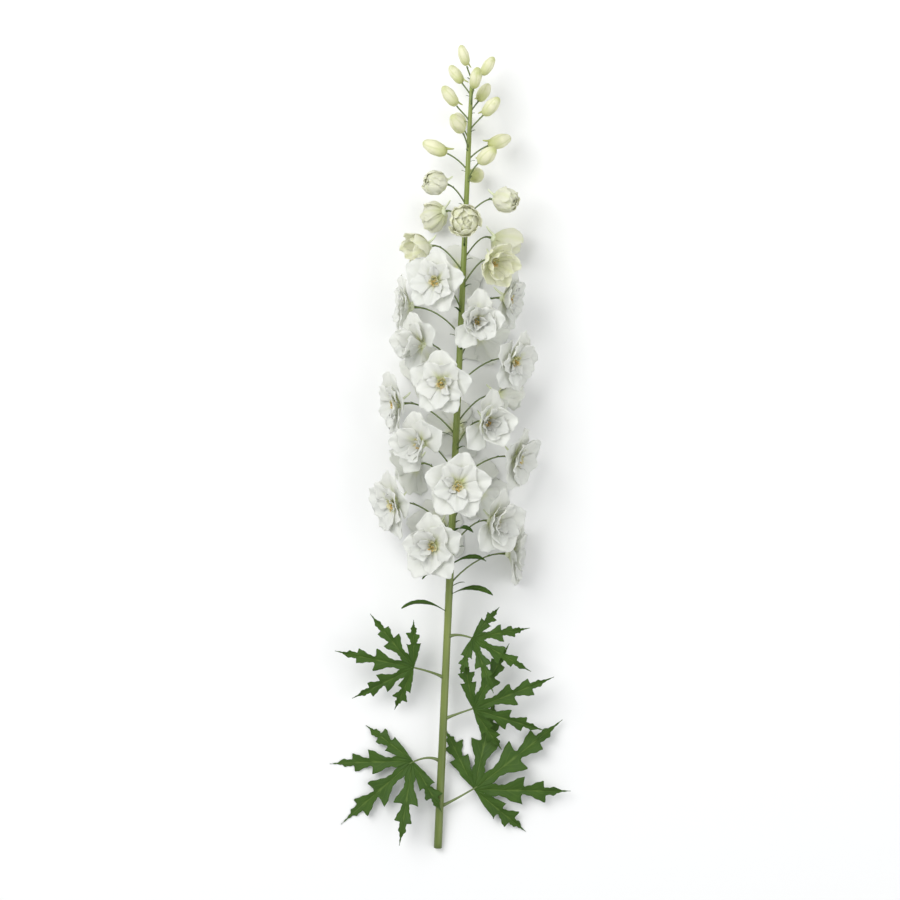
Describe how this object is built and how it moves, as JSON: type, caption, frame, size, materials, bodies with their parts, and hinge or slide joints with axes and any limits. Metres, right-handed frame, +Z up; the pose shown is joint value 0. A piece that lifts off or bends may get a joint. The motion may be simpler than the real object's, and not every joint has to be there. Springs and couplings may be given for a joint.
{
  "type": "delphinium flower spike",
  "caption": "Cut spike of white semi-double delphinium lying down: open florets low on the stem, opening ones above, green-white buds at the tip and lobed leaves below.",
  "frame": {"origin": "on the table under the middle of the spike: the middle of the bounding box in X and Y, at its bottom", "axes": "+Y from the cut end towards the flower tip, +Z up off the table, +X to the right seen from above"},
  "size_m": [0.2253, 0.7388, 0.1116],
  "materials": {
    "stem_green": "satin plant stem, yellow-green above and olive below",
    "petal_white": "soft translucent white petal, cream at its base",
    "bud_green_white": "soft green-white bud",
    "leaf_green": "dull dark green leaf, paler below"
  },
  "bodies": {
    "root": {"stem": "stem_green", "floret_01": "petal_white", "floret_02": "petal_white", "floret_03": "petal_white", "floret_04": "petal_white", "floret_05": "petal_white", "floret_06": "petal_white", "floret_07": "petal_white", "floret_08": "petal_white", "floret_09": "petal_white", "floret_10": "petal_white", "floret_11": "petal_white", "floret_12": "petal_white", "floret_13": "petal_white", "floret_14": "petal_white", "floret_15": "petal_white", "floret_16": "petal_white", "floret_17": "petal_white", "floret_18": "petal_white", "floret_19": "petal_white", "floret_20": "petal_white", "floret_21": "petal_white", "floret_22": "petal_white", "floret_23": "petal_white", "floret_24": "petal_white", "opening_floret_01": "petal_white", "opening_floret_02": "petal_white", "opening_floret_03": "petal_white", "opening_floret_04": "petal_white", "opening_floret_05": "petal_white", "opening_floret_06": "petal_white", "opening_floret_07": "petal_white", "bud_01": "bud_green_white", "bud_02": "bud_green_white", "bud_03": "bud_green_white", "bud_04": "bud_green_white", "bud_05": "bud_green_white", "bud_06": "bud_green_white", "bud_07": "bud_green_white", "bud_08": "bud_green_white", "bud_09": "bud_green_white", "bud_10": "bud_green_white", "bud_11": "bud_green_white", "bud_12": "bud_green_white", "bud_13": "bud_green_white", "leaf_1": "leaf_green", "leaf_2": "leaf_green", "leaf_3": "leaf_green", "leaf_4": "leaf_green", "leaf_5": "leaf_green"}
  },
  "joints": []
}
